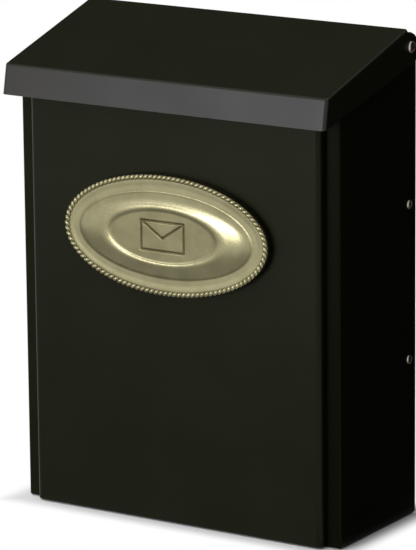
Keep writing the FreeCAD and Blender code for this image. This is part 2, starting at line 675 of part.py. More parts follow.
def rivet_outline(shank, head, grip):
    """Half section of a set rivet whose head sits on the plane Z = 0 and points up."""
    tail = f"({shank} * Sizes.rivet_tail)"
    end = f"(-{grip} - {shank} * Sizes.rivet_tail_length)"
    return [("0", end), (f"({tail} * Sizes.rivet_tail_end)", end), (tail, f"(-{grip})"),
            (f"({shank} / 2)", f"(-{grip})"), (f"({shank} / 2)", "0"), (f"({head} / 2)", "0"),
            (f"({head} / 2)", f"({head} * Sizes.rivet_edge)"), ("0", f"({head} * Sizes.rivet_rise)")]


def dome(points, head):
    """The same outline with the last straight run of the head set out as steps of an arc."""
    rise, edge = f"({head} * Sizes.rivet_rise)", f"({head} * Sizes.rivet_edge)"
    steps = []
    for step in range(1, DOME_STEPS):
        angle = 90 * step / DOME_STEPS
        steps.append((f"({head} / 2 * cos({angle}))", f"({edge} + ({rise} - {edge}) * sin({angle}))"))
    return points[:-1] + steps + points[-1:]


def make_rivet(label, shank, head, grip, side, face, depth, height):
    """A rivet through the box's side; side is 1 on the right and -1 on the left."""
    body = new_piece(label)
    turn(body, "Rivet", dome(rivet_outline(shank, head, grip), head))
    place(body, f"{side} * ({face})", depth, height, (0, 1, 0), 90 * side)
    return body


def make_washer(label, side):
    """Spacer between the lid's ear and the box's side."""
    body = new_piece(label)
    ring = new_sketch(body, "RingOutline", "XY_Plane")
    add_circle(ring, "0", "0", "(Sizes.washer_rim / 2)")
    add_circle(ring, "0", "0", PIVOT_HOLE)
    extrude(body, "Ring", ring, "Sizes.lid_gap - 2 * Sizes.running_gap", middle=False)
    place(body, f"{side} * ({HALF} + Sizes.running_gap)", PIVOT_Y, PIVOT_Z, (0, 1, 0), 90 * side)
    return body


def ellipse_wire(long, high, level):
    """An oval in the XY plane at a level, its long axis along X."""
    curve = Part.Ellipse(FreeCAD.Vector(0, 0, level), long, high)
    return Part.Wire([curve.toShape()])


def oval_stack(rings):
    """Solid through ovals given as half length, half height and level."""
    wires = [ellipse_wire(*ring) for ring in rings]
    return Part.makeLoft(wires, True, True)


def plate_shell():
    """Rim with a flat seat for the rope, a band inside it and a domed middle with a sunk flat."""
    long, high, rise = value("Sizes.plate_long / 2"), value("Sizes.plate_high / 2"), value("Sizes.plate_rise")
    rim, wall = value("Sizes.rim_rise"), value("Sizes.plate_wall")
    seat, band = value("Sizes.seat_width"), value("Sizes.band_start")
    rings = [(long * across, high * up, rise * level) for across, up, level in DOME]
    disc = Part.Face(ellipse_wire(long, high, 0)).extrude(FreeCAD.Vector(0, 0, rim))
    bowl = oval_stack([(long - band, high - band, rim - wall / 2), (long - seat, high - seat, rim)])
    hollow = oval_stack([(long - wall, high - wall, -wall), (long - wall, high - wall, rim - 2 * wall)]
                        + [(across - wall, up - wall, level - wall) for across, up, level in rings[1:]])
    return disc.cut(bowl).fuse(oval_stack(rings)).cut(hollow)


def rope_strand(centre, direction, size):
    """One strand of the rope border: a low eight-sided lozenge set aslant."""
    up = FreeCAD.Vector(0, 0, 1)
    side = up.cross(direction)
    long, wide, tall = size
    ends = [centre + direction * long, centre + side * wide, centre - direction * long, centre - side * wide]
    faces = []
    for level in (tall, -tall):
        tip = centre + up * level
        for index in range(4):
            corner = [ends[index], ends[(index + 1) % 4], tip, ends[index]]
            faces.append(Part.Face(Part.makePolygon(corner)))
    return Part.makeSolid(Part.makeShell(faces))


# Short steps in which the border's length is measured
BORDER_STEPS = 4000
# A strand's half length and half width as shares of the pitch, and its rise as a share of the rope's width
STRAND = (0.66, 0.38, 0.42)


def rope_places():
    """Points evenly spaced round the border, each with its tangent."""
    long = value("Sizes.plate_long / 2 - Sizes.rope_width / 2")
    high = value("Sizes.plate_high / 2 - Sizes.rope_width / 2")
    steps = BORDER_STEPS
    points = [FreeCAD.Vector(long * math.cos(2 * math.pi * step / steps),
                             high * math.sin(2 * math.pi * step / steps), 0) for step in range(steps + 1)]
    lengths = [0.0]
    for before, after in zip(points, points[1:]):
        lengths.append(lengths[-1] + (after - before).Length)
    count = int(value("Sizes.rope_strands"))
    index = 0
    for strand in range(count):
        while lengths[index + 1] < lengths[-1] * strand / count:
            index += 1
        yield points[index], (points[index + 1] - points[index]).normalize(), lengths[-1] / count


def make_name_plate():
    """Hollow oval plate with a domed middle, a rope border and two studs."""
    rim, width = value("Sizes.rim_rise"), value("Sizes.rope_width")
    strands = []
    for point, tangent, pitch in rope_places():
        slant = FreeCAD.Rotation(FreeCAD.Vector(0, 0, 1), value("Sizes.rope_slant")).multVec(tangent)
        size = (pitch * STRAND[0], pitch * STRAND[1], width * STRAND[2])
        strands.append(rope_strand(point + FreeCAD.Vector(0, 0, rim), slant, size))
    plate = plate_shell().fuse(strands)
    radius, reach = value("Sizes.stud_radius"), value("Sizes.stud_length")
    length = reach + value("Sizes.plate_rise - Sizes.plate_wall / 2")
    studs = []
    for side in (-1, 1):
        foot = FreeCAD.Vector(side * value("Sizes.stud_spacing / 2"), 0, -reach)
        studs.append(Part.makeCylinder(radius, length, foot))
    plate = plate.fuse(studs)
    feature = doc.addObject("Part::Feature", "name_plate")
    feature.Label = "name_plate"
    feature.Shape = plate
    base = FreeCAD.Vector(0, value(DOOR_FACE), value(f"{PLATE_Z} - Sizes.screws_height"))
    feature.Placement = FreeCAD.Placement(base, FreeCAD.Rotation(FreeCAD.Vector(1, 0, 0), 90))
    return feature


def make_push_nut(label, side):
    """Spring steel nut pressed over a plate stud inside the door."""
    body = new_piece(label)
    turn(body, "Nut", [
        ("(Sizes.stud_radius + Sizes.running_gap)", "(-2 * Sizes.push_nut_thick)"),
        ("Sizes.push_nut_crease", "(-2 * Sizes.push_nut_thick)"),
        ("Sizes.push_nut_radius", "(-Sizes.push_nut_thick)"), ("Sizes.push_nut_radius", "0"),
        ("Sizes.push_nut_crease", "(-Sizes.push_nut_thick)"),
        ("(Sizes.stud_radius + Sizes.running_gap)", "(-Sizes.push_nut_thick)")])
    along_y(body, f"({DOOR_FACE} + Sizes.sheet)", PLATE_Z, f"{side} * Sizes.stud_spacing / 2")
    return body


pieces = [make_body_wrap(), make_back_panel(), make_header_rail(), make_lid_hood(), make_front_door(),
          make_hinge_pin(), make_door_catch(), make_lock_barrel(), make_lock_plug(), make_lock_washer(),
          make_lock_nut(), make_lock_cam(), make_cam_screw(), make_name_plate()]
for side, hand in ((-1, "left"), (1, "right")):
    pieces.append(make_push_nut(f"push_nut_{hand}", side))
    pieces.append(make_rivet(f"lid_rivet_{hand}", "Sizes.pivot_shank", "Sizes.pivot_head",
                             "(Sizes.lid_gap + 2 * Sizes.sheet + 2 * Sizes.running_gap)", side,
                             f"{LID_HALF} + Sizes.running_gap", PIVOT_Y, PIVOT_Z))
    pieces.append(make_washer(f"lid_washer_{hand}", side))
    for level, height in (("lower", "Sizes.side_rivet_lower"), ("upper", "Sizes.side_rivet_upper")):
        pieces.append(make_rivet(f"side_rivet_{hand}_{level}", "Sizes.side_rivet_shank",
                                 "Sizes.side_rivet_head", "(2 * Sizes.sheet + Sizes.fit_gap)", side, HALF,
                                 "(-Sizes.side_rivet_setback)", height))
doc.recompute()

for item in doc.Objects:
    if {"Invalid", "Error"} & set(item.State):
        raise RuntimeError(f"{item.Label} is in state {item.State}")
for piece in pieces:
    if piece.Shape.isNull() or not piece.Shape.isValid():
        raise RuntimeError(f"{piece.Label} has no valid shape")

os.makedirs("parts", exist_ok=True)
for piece in pieces:
    piece.Shape.exportStep(f"parts/{piece.Label}.step")
    print(piece.Label, len(piece.Shape.Solids), round(piece.Shape.Volume, 1))
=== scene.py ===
import math

import bmesh
import bpy
import numpy as np
from bpy.props import FloatProperty, FloatVectorProperty, IntProperty, PointerProperty
from mathutils import Matrix, Vector


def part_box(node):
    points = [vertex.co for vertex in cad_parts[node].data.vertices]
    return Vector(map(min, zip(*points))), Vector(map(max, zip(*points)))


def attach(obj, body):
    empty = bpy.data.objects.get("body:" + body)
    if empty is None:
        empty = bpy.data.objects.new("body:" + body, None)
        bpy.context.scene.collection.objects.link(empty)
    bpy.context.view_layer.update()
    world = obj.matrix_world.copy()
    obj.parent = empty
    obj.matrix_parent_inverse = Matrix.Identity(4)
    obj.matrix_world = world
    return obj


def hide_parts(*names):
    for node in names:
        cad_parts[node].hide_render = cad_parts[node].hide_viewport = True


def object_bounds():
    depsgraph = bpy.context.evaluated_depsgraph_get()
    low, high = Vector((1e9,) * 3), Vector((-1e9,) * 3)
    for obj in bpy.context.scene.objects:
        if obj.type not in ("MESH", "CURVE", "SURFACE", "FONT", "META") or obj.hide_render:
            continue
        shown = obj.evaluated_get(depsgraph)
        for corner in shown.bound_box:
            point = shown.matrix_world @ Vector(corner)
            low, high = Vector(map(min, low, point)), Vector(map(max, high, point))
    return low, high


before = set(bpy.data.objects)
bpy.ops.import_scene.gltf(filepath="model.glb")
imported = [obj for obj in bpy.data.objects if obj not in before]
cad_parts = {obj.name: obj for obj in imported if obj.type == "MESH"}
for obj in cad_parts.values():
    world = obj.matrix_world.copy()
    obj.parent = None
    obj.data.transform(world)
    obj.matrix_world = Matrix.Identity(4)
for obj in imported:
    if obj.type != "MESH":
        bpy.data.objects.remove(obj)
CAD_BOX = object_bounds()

bl_info = {
    "name": "Wall post box",
    "version": (1, 0, 0),
    "blender": (4, 5, 0),
    "location": "3D View > Sidebar > Post box",
    "description": "Finishes of a folded steel post box with an oval rope-bordered plate",
    "category": "Object",
}

# The picture's long side in pixels, and the camera's sensor in millimetres with its shift
LONG_SIDE = 550
SENSOR = 36.0
SHIFT = (-0.0038, -0.0003)


def metres(name, text, default):
    """A length that a user can change."""
    return FloatProperty(name=name, description=text, default=default, subtype="DISTANCE", unit="LENGTH")


def colour(name, text, default):
    """A linear colour that a user can change."""
    return FloatVectorProperty(name=name, description=text, default=default, size=3, min=0, max=1,
                               subtype="COLOR")


def share(name, text, default):
    """A part of one that a user can change."""
    return FloatProperty(name=name, description=text, default=default, min=0, soft_max=1)


def angle(name, text, degrees):
    """An angle that a user can change, given here in degrees."""
    return FloatProperty(name=name, description=text, default=math.radians(degrees), subtype="ANGLE")


def srgb(red, green, blue):
    """Linear colour of an sRGB colour given as 0 to 255."""
    def channel(value):
        value /= 255
        return value / 12.92 if value <= 0.04045 else ((value + 0.055) / 1.055) ** 2.4
    return tuple(channel(value) for value in (red, green, blue))


class PlateSizes(bpy.types.PropertyGroup):
    half_long: metres("Half length", "Half of the oval plate's length", 0.07875)
    half_high: metres("Half height", "Half of the oval plate's height", 0.0405)
    across: metres("Centre offset", "How far the plate's middle sits right of the mount", -0.002)
    centre: metres("Centre height", "Height of the plate's middle above the mount", 0.0330)
    rim: metres("Rim rise", "How far the rim stands off the door", 0.006)
    band: metres("Band drop", "How far the flat band lies below the rim", 0.0002)
    rise: metres("Dome rise", "How far the dome stands off the door", 0.00985)
    wall: metres("Wall", "Thickness of the pressed plate", 0.0014)
    rope: metres("Rope width", "Width of the rope border", 0.0034)
    strands: IntProperty(name="Rope strands", description="Strands round the border", default=104, min=12)
    slant: angle("Rope slant", "Turn of a strand from the border's line", 38)
    groove: metres("Groove width", "Half width of the engraved envelope's line", 0.00075)
    groove_deep: metres("Groove depth", "Depth of the engraved line", 0.0005)


class RivetSizes(bpy.types.PropertyGroup):
    pivot_head: metres("Pivot head", "Radius of the lid pivots' heads", 0.004)
    pivot_shank: metres("Pivot shank", "Radius of the lid pivots' shanks", 0.002)
    side_head: metres("Side head", "Radius of the side rivets' heads", 0.003)
    side_shank: metres("Side shank", "Radius of the side rivets' shanks", 0.0016)


class Finishes(bpy.types.PropertyGroup):
    # The box, lid and door are one satin black: the lid's copy is painted lighter and the box's and door's
    # darker, as painted light and shade
    box_paint: colour("Box paint", "Satin black of the box", srgb(24, 25, 13))
    lid_paint: colour("Lid paint", "Satin black of the lid", srgb(33, 34, 23))
    door_paint: colour("Door paint", "Satin black of the door", srgb(20, 21, 10))
    shade: colour("Shaded paint", "Paint of the front flange behind the door's edge", srgb(8, 9, 3))
    dust: colour("Dust", "Thin dust in the paint's grain", srgb(96, 96, 84))
    brass: colour("Brass", "Rubbed brass of the plate", srgb(158, 153, 118))
    # Dark brass also paints the shade at the foot of the dome
    brass_dark: colour("Dark brass", "Patina in the plate's low places", srgb(66, 58, 32))
    steel: colour("Plated steel", "Zinc plated fittings", srgb(170, 170, 164))
    steel_stain: colour("Steel stain", "Stains on the plated fittings", srgb(120, 112, 92))
    chrome: colour("Lock metal", "Nickel plated lock", srgb(196, 194, 186))
    chrome_stain: colour("Lock stain", "Stains on the lock", srgb(130, 122, 104))
    rivet: colour("Rivet metal", "Bare rivets", srgb(190, 184, 172))
    rust: colour("Rust", "Rust on the rivets", srgb(150, 90, 56))
    nylon: colour("Washer nylon", "Lid washers", srgb(206, 202, 188))
    grain: metres("Paint grain", "Size of the paint's fine texture", 0.0011)
    sheen: share("Paint roughness", "Roughness of the satin paint", 0.30)


class StageSizes(bpy.types.PropertyGroup):
    azimuth: angle("Azimuth", "Camera turn from the front", 32.583)
    elevation: angle("Elevation", "Camera angle above the horizon", 13.614)
    roll: angle("Roll", "Camera tilt", -0.563)
    target: FloatVectorProperty(name="Target", description="Point the camera looks at",
                                default=(0.0246, -0.098, 0.0074), subtype="TRANSLATION")
    distance: metres("Distance", "Camera to target", 2.6624)
    focal_pixels: FloatProperty(name="Focal length", description="In pixels of the picture's long side",
                                default=4064.3)
    floor_radius: metres("Floor radius", "Half width of the floor", 3.0)
    key: FloatProperty(name="Key lamp", description="Radiance of the long front lamp", default=9.0)
    fill: FloatProperty(name="Fill lamp", description="Radiance of the fill lamps", default=1.2)


class Settings(bpy.types.PropertyGroup):
    plate: PointerProperty(type=PlateSizes)
    rivets: PointerProperty(type=RivetSizes)
    finish: PointerProperty(type=Finishes)
    stage: PointerProperty(type=StageSizes)


def settings():
    """The sizes and colours in use."""
    return bpy.context.scene.post_box


# Node trees

class Nodes:
    """A node tree with short calls to add a node and to join two sockets."""

    def __init__(self, tree):
        self.tree = tree

    def add(self, kind, inputs=None, **options):
        node = self.tree.nodes.new(kind)
        for name, value in options.items():
            setattr(node, name, value)
        for name, value in (inputs or {}).items():
            if isinstance(value, bpy.types.NodeSocket):
                self.tree.links.new(value, node.inputs[name])
            else:
                node.inputs[name].default_value = value
        return node

    def math(self, operation, first, second=0.0, clamp=False):
        return self.add("ShaderNodeMath", {0: first, 1: second}, operation=operation,
                        use_clamp=clamp).outputs[0]

    def mix(self, factor, first, second):
        node = self.add("ShaderNodeMix", data_type="RGBA")
        for socket, value in ((node.inputs[0], factor), (node.inputs[6], first), (node.inputs[7], second)):
            if isinstance(value, bpy.types.NodeSocket):
                self.tree.links.new(value, socket)
            else:
                socket.default_value = value
        return node.outputs[2]

    def span(self, value, low, high, start=0.0, end=1.0, smooth=True):
        """value from low to high, mapped to start to end."""
        return self.add("ShaderNodeMapRange", {"Value": value, "From Min": low, "From Max": high,
                                               "To Min": start, "To Max": end},
                        interpolation_type="SMOOTHSTEP" if smooth else "LINEAR").outputs[0]

    def noise(self, vector, scale, detail=3.0, roughness=0.5):
        return self.add("ShaderNodeTexNoise", {"Vector": vector, "Scale": scale, "Detail": detail,
                                               "Roughness": roughness}).outputs["Fac"]


def shader_group(name, inputs, outputs):
    """An empty shader group with its named sockets."""
    tree = bpy.data.node_groups.new(name, "ShaderNodeTree")
    for label, kind, default in inputs:
        socket = tree.interface.new_socket(label, in_out="INPUT", socket_type=kind)
        if default is not None:
            socket.default_value = default
    for label, kind in outputs:
        tree.interface.new_socket(label, in_out="OUTPUT", socket_type=kind)
    nodes = Nodes(tree)
    source = nodes.add("NodeGroupInput")
    sink = nodes.add("NodeGroupOutput")
    return nodes, source.outputs, sink.inputs


FLOAT, VECTOR, COLOUR = "NodeSocketFloat", "NodeSocketVector", "NodeSocketColor"


def grain_group():
    """Fine pebbled texture of sprayed or cast metal, and a soft cloudiness over it."""
    nodes, given, out = shader_group(
        "Surface grain", [("Vector", VECTOR, None), ("Grain", FLOAT, 0.001), ("Patch", FLOAT, 0.05)],
        [("Height", FLOAT), ("Cloud", FLOAT), ("Speck", FLOAT)])
    link = nodes.tree.links.new
    fine = nodes.noise(given["Vector"], nodes.math("DIVIDE", 1.0, given["Grain"]), 2.0)
    cloud = nodes.noise(given["Vector"], nodes.math("DIVIDE", 1.0, given["Patch"]), 5.0, 0.6)
    speck = nodes.noise(given["Vector"], nodes.math("DIVIDE", 0.35, given["Grain"]), 1.0)
    link(fine, out["Height"])
    link(nodes.span(cloud, 0.3, 0.72), out["Cloud"])
    link(nodes.span(speck, 0.68, 0.78), out["Speck"])
    return nodes.tree


def wear_group():
    """Mixes a worn or dirty colour into a clean one and roughens it by the same mask."""
    nodes, given, out = shader_group(
        "Worn finish", [("Clean", COLOUR, (1, 1, 1, 1)), ("Worn", COLOUR, (0, 0, 0, 1)), ("Mask", FLOAT, 0.0),
                        ("Amount", FLOAT, 0.5), ("Smooth", FLOAT, 0.3), ("Rough", FLOAT, 0.6)],
        [("Color", COLOUR), ("Roughness", FLOAT)])
    link = nodes.tree.links.new
    mask = nodes.math("MULTIPLY", given["Mask"], given["Amount"], clamp=True)
    link(nodes.mix(mask, given["Clean"], given["Worn"]), out["Color"])
    link(nodes.span(mask, 0.0, 1.0, given["Smooth"], given["Rough"], smooth=False), out["Roughness"])
    return nodes.tree


# What a finish's name adds to its slot's name, which the frame's own plain material has
FINISH = "_finish"
# Tints of the enamel's gloss, which colour its reflections as painted light: olive on the box and door, pale
# on the lid
OLIVE_GLOSS = (0.92, 1.0, 0.70, 1.0)
PALE_GLOSS = (1.0, 0.97, 1.0, 1.0)
# Depth of every finish's fine bumps
GRAIN_DEPTH = 0.0002
# How far behind the door's back edge the paint counts as the front flange's
FLANGE_DEPTH = 0.00075


def rgba(value):
    """A colour with full alpha."""
    return (*value, 1.0)


class Finish:
    """A material for one of the record's slots, with its grain in place."""

    def __init__(self, slot, groups, grain, patch):
        made = bpy.data.materials.new(slot + FINISH)
        made.use_nodes = True
        self.groups = groups
        self.nodes = Nodes(made.node_tree)
        self.shader = made.node_tree.nodes["Principled BSDF"]
        self.place = self.nodes.add("ShaderNodeTexCoord").outputs["Object"]
        self.grain = self.group("grain", {"Vector": self.place, "Grain": grain, "Patch": patch})

    def group(self, kind, inputs):
        """The outputs of one of the shared groups, placed with its own values."""
        return self.nodes.add("ShaderNodeGroup", inputs, node_tree=self.groups[kind]).outputs

    def link(self, source, name):
        self.nodes.tree.links.new(source, self.shader.inputs[name])

    def constant(self, name, value):
        self.shader.inputs[name].default_value = value

    def bump(self, strength):
        """Raises the grain from the surface."""
        raised = self.nodes.add("ShaderNodeBump", {"Height": self.grain["Height"], "Strength": strength,
                                                   "Distance": GRAIN_DEPTH})
        self.link(raised.outputs["Normal"], "Normal")

    def wear(self, clean, worn, mask, amount, smooth, rough):
        """Colour and roughness between a clean and a worn state."""
        state = self.group("wear", {"Clean": rgba(clean), "Worn": rgba(worn), "Mask": mask, "Amount": amount,
                                    "Smooth": smooth, "Rough": rough})
        self.link(state["Color"], "Base Color")
        self.link(state["Roughness"], "Roughness")

    def recess(self):
        """How low a place of the piece lies, from its mesh."""
        return self.nodes.add("ShaderNodeAttribute", attribute_name="recess",
                              attribute_type="GEOMETRY").outputs["Fac"]


def shaded_flange(finish, tone, colours):
    """Deepens the paint of the front flange that lies in the proud door's shade."""
    nodes, edge = finish.nodes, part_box("front_door")[1]
    apart = nodes.add("ShaderNodeSeparateXYZ", {0: finish.place}).outputs
    beside = nodes.math("GREATER_THAN", apart["X"], edge.x)
    front = nodes.math("LESS_THAN", apart["Y"], edge.y + FLANGE_DEPTH)
    return nodes.mix(nodes.math("MULTIPLY", beside, front), tone, rgba(colours.shade))


def satin_paint(groups, slot, tone, shine, tint, colours):
    """Black baked enamel: fine grain, faint cloudiness and a little dust in the grain."""
    finish = Finish(slot, groups, colours.grain, 0.045)
    nodes, grain = finish.nodes, finish.grain
    dusty = nodes.math("ADD", nodes.math("MULTIPLY", grain["Cloud"], 0.6),
                       nodes.math("MULTIPLY", grain["Speck"], 0.5), clamp=True)
    paint = finish.group("wear", {"Clean": rgba(tone), "Worn": rgba(colours.dust), "Mask": dusty,
                                  "Amount": 0.012})["Color"]
    if slot == "box_paint":
        paint = shaded_flange(finish, paint, colours)
    finish.link(paint, "Base Color")
    finish.link(nodes.span(grain["Cloud"], 0.0, 1.0, colours.sheen, colours.sheen + 0.05, smooth=False),
                "Roughness")
    finish.bump(0.12)
    finish.constant("Specular IOR Level", shine)
    finish.constant("Specular Tint", tint)


def brass_finish(groups, colours):
    """Rubbed antique brass: dark patina in the low places, with painted shade at the dome's foot, cloudy
    elsewhere.
    """
    finish = Finish("plate_brass", groups, 0.0016, 0.016)
    cloudy = finish.nodes.math("MULTIPLY", finish.grain["Cloud"], 0.22)
    mask = finish.nodes.math("ADD", finish.recess(), cloudy, clamp=True)
    finish.wear(colours.brass, colours.brass_dark, mask, 1.0, 0.25, 0.38)
    finish.bump(0.10)
    finish.constant("Metallic", 1.0)


def plated_metal(groups, slot, tone, stain, smooth, amount):
    """Plated metal with a fine grain and stains that gather in patches."""
    finish = Finish(slot, groups, 0.0009, 0.006)
    finish.wear(tone, stain, finish.grain["Cloud"], amount, smooth, 0.62)
    finish.bump(0.15)
    finish.constant("Metallic", 1.0)


def rivet_finish(groups, colours):
    """Bare rivet metal that rusts from below, where water stays."""
    finish = Finish("rivet_metal", groups, 0.0007, 0.003)
    nodes = finish.nodes
    mask = nodes.math("MULTIPLY", finish.recess(), nodes.span(finish.grain["Cloud"], 0.0, 1.0, 0.55, 1.25),
                      clamp=True)
    finish.wear(colours.rivet, colours.rust, mask, 1.0, 0.32, 0.75)
    finish.link(nodes.span(mask, 0.3, 0.9, 1.0, 0.6), "Metallic")
    finish.bump(0.2)


def nylon_finish(groups, colours):
    """Pale moulded washers, a little dusty."""
    finish = Finish("washer_plastic", groups, 0.0008, 0.004)
    finish.wear(colours.nylon, colours.dust, finish.grain["Cloud"], 0.35, 0.4, 0.6)


def make_materials():
    """Every finish, once."""
    colours = settings().finish
    groups = {"grain": grain_group(), "wear": wear_group()}
    # One satin black in three copies. Their colour, gloss level and gloss tint differ as painted light and
    # shade: the lid lighter and glossier, the box and the door darker and duller
    satin_paint(groups, "box_paint", colours.box_paint, 0.05, OLIVE_GLOSS, colours)
    satin_paint(groups, "lid_paint", colours.lid_paint, 0.26, PALE_GLOSS, colours)
    satin_paint(groups, "door_paint", colours.door_paint, 0.12, OLIVE_GLOSS, colours)
    brass_finish(groups, colours)
    plated_metal(groups, "plated_steel", colours.steel, colours.steel_stain, 0.34, 0.45)
    plated_metal(groups, "lock_metal", colours.chrome, colours.chrome_stain, 0.18, 0.25)
    rivet_finish(groups, colours)
    nylon_finish(groups, colours)


def material(slot):
    """The finish that stands for a slot; the first call builds them all."""
    if slot + FINISH not in bpy.data.materials:
        make_materials()
    return bpy.data.materials[slot + FINISH]


def finish_nodes(slot, *names):
    """Gives CAD nodes their finish through their objects' material slots."""
    for name in names:
        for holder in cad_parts[name].material_slots:
            holder.link = "OBJECT"
            holder.material = material(slot)


# The oval plate

# The dome from the middle out: shares of the half length and half height, and of the dome's own rise
DOME = [(0.02, 0.02, 0.85), (0.30, 0.235, 0.848), (0.495, 0.402, 0.845), (0.518, 0.424, 0.87),
        (0.550, 0.450, 0.955), (0.580, 0.472, 0.985), (0.61, 0.496, 0.96), (0.66, 0.536, 0.85),
        (0.72, 0.588, 0.69), (0.765, 0.626, 0.54), (0.80, 0.658, 0.36), (0.825, 0.684, 0.18),
        (0.842, 0.702, 0.06), (0.860, 0.722, 0.0), (0.880, 0.75, 0.0), (0.905, 0.80, 0.0)]
# Width of the rope's seat in rope widths, and the small break of the plate's outer edge
SEAT, EDGE_IN, EDGE_DOWN = 1.12, 0.0006, 0.0005
# Turns and rings of the plate's front, and every how many rings its back has one
PLATE_TURN, PLATE_RINGS, BACK_STEP = 384, 190, 8
# How far the plate's back stands off the door
STAND_OFF = 0.0004


def plate_profile(sizes):
    """Rings from the middle out: half length, half height, level above the door."""
    long, high = sizes.half_long, sizes.half_high
    floor, seat = sizes.rim - sizes.band, sizes.rope * SEAT
    knots = [(across * long, up * high, floor + level * (sizes.rise - floor)) for across, up, level in DOME]
    return knots + [(long - seat, high - seat, sizes.rim), (long - EDGE_IN, high - EDGE_IN, sizes.rim),
                    (long, high, sizes.rim - EDGE_DOWN)]


def smooth_rings(knots, steps):
    """Rings between the knots on a curve that never overshoots them."""
    knots = np.array(knots)
    gaps = np.linalg.norm(np.diff(knots, axis=0), axis=1)
    along = np.concatenate([[0], np.cumsum(gaps)])
    slopes = np.diff(knots, axis=0) / gaps[:, None]
    inner = np.where(slopes[:-1] * slopes[1:] > 0, 2 * slopes[:-1] * slopes[1:]
                     / (slopes[:-1] + slopes[1:] + 1e-12), 0)
    tangents = np.vstack([slopes[:1], inner, slopes[-1:]])
    places = np.linspace(0, along[-1], steps)
    index = np.clip(np.searchsorted(along, places, side="right") - 1, 0, len(gaps) - 1)
    t = ((places - along[index]) / gaps[index])[:, None]
    width = gaps[index][:, None]
    return ((2 * t ** 3 - 3 * t ** 2 + 1) * knots[index] + (t ** 3 - 2 * t ** 2 + t) * width * tangents[index]
            + (3 * t ** 2 - 2 * t ** 3) * knots[index + 1] + (t ** 3 - t ** 2) * width * tangents[index + 1])


# The engraved envelope's lines in shares of its half size, and that half size
ENVELOPE = [((-1, -1), (1, -1)), ((1, -1), (1, 1)), ((1, 1), (-1, 1)), ((-1, 1), (-1, -1)),
            ((-1, 1), (0, -0.12)), ((0, -0.12), (1, 1))]
ENVELOPE_HALF = (0.0165, 0.0098)


def line_distance(points, start, end):
    """How far each point lies from a straight line between two ends."""
    start, end = np.array(start), np.array(end)
    run = end - start
    t = np.clip(((points - start) @ run) / (run @ run), 0, 1)
    return np.linalg.norm(points - start - t[:, None] * run, axis=1)


def engraving(points, sizes):
    """How deep the plain envelope outline is cut at each point of the plate's face, 0 to 1."""
    half = np.array(ENVELOPE_HALF)
    gap = np.min([line_distance(points, np.array(a) * half, np.array(b) * half) for a, b in ENVELOPE], axis=0)
    return np.clip(1.4 - gap / sizes.groove, 0, 1)


def ring_mesh(name, rings, turn, caps):
    """Closed mesh through rings of points; caps are the levels of the two middle points."""
    rows = len(rings)
    vertices = np.vstack(rings + [np.array(caps)])
    faces = []
    for row in range(rows - 1):
        for step in range(turn):
            after = (step + 1) % turn
            faces.append((row * turn + step, row * turn + after, (row + 1) * turn + after,
                          (row + 1) * turn + step))
    for step in range(turn):
        after = (step + 1) % turn
        faces.append((after, step, rows * turn))
        faces.append(((rows - 1) * turn + step, (rows - 1) * turn + after, rows * turn + 1))
    mesh = bpy.data.meshes.new(name)
    mesh.from_pydata(vertices.tolist(), [], faces)
    return mesh


def outward(mesh):
    """Merges doubles and turns every face outwards."""
    shape = bmesh.new()
    shape.from_mesh(mesh)
    bmesh.ops.remove_doubles(shape, verts=shape.verts, dist=1e-7)
    bmesh.ops.recalc_face_normals(shape, faces=shape.faces)
    if shape.calc_volume(signed=True) < 0:
        bmesh.ops.reverse_faces(shape, faces=shape.faces)
    shape.to_mesh(mesh)
    shape.free()
    mesh.shade_smooth()


def new_piece(name, mesh, slot, body):
    """An object for a mesh, with its finish, that moves with a body."""
    piece = bpy.data.objects.new(name, mesh)
    bpy.context.scene.collection.objects.link(piece)
    piece.data.materials.clear()
    piece.data.materials.append(material(slot))
    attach(piece, body)
    return piece


# Patina, with painted shade at the dome's foot, by the share of the way out: how dark, where it lies and over
# what width
MIDDLE_SHADE, FOOT_SHADE, SEAT_SHADE = (0.26, 0.555, 0.03), (0.32, 0.848, 0.018), (0.6, 0.952, 0.006)


def plate_dish():
    """The pressed oval: rim, band, dome with a sunk middle, and the engraved envelope."""
    sizes = settings().plate
    turn = PLATE_TURN
    angles = np.arange(turn) * 2 * math.pi / turn
    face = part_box("front_door")[0].y
    front = smooth_rings(plate_profile(sizes), PLATE_RINGS)
    back = [(long - sizes.wall, high - sizes.wall, max(level - sizes.wall, STAND_OFF))
            for long, high, level in front[::-BACK_STEP] if long > 2 * sizes.wall + 0.002]
    edge = [(sizes.half_long, sizes.half_high, sizes.rim * 0.6),
            (sizes.half_long, sizes.half_high, STAND_OFF),
            (sizes.half_long - sizes.wall, sizes.half_high - sizes.wall, STAND_OFF)]
    rings, recess = [], []
    for index, (long, high, level) in enumerate(list(front) + edge + back):
        x, z = long * np.cos(angles), high * np.sin(angles)
        cut = engraving(np.stack([x, z], 1), sizes) if index < len(front) else np.zeros(turn)
        y = face - level + cut * sizes.groove_deep
        rings.append(np.stack([x + sizes.across, y, z + sizes.centre], 1))
        recess.append(np.clip(0.5 * cut + plate_shade(long / sizes.half_long), 0, 1))
    levels = [front[0][2], back[-1][2]]
    caps = [(sizes.across, face - level, sizes.centre) for level in levels]
    mesh = ring_mesh("plate_dish", rings, turn, caps)
    values = np.concatenate(recess + [[recess[0][0], 0.5]])
    mesh.attributes.new("recess", "FLOAT", "POINT").data.foreach_set("value", values.astype(np.float32))
    outward(mesh)
    return new_piece("plate_dish", mesh, "plate_brass", "door")


def plate_shade(reach):
    """Darkening by distance from the middle: patina in the sunk middle and the rope's seat, patina and
    painted shade at the foot of the dome.
    """
    dark, inside, width = MIDDLE_SHADE
    middle = dark * np.clip((inside - reach) / width, 0, 1)
    dark, place, width = FOOT_SHADE
    foot = dark * np.exp(-((reach - place) / width) ** 2)
    dark, outside, width = SEAT_SHADE
    return middle + foot + dark * np.clip((reach - outside) / width, 0, 1)


# Repeated parts

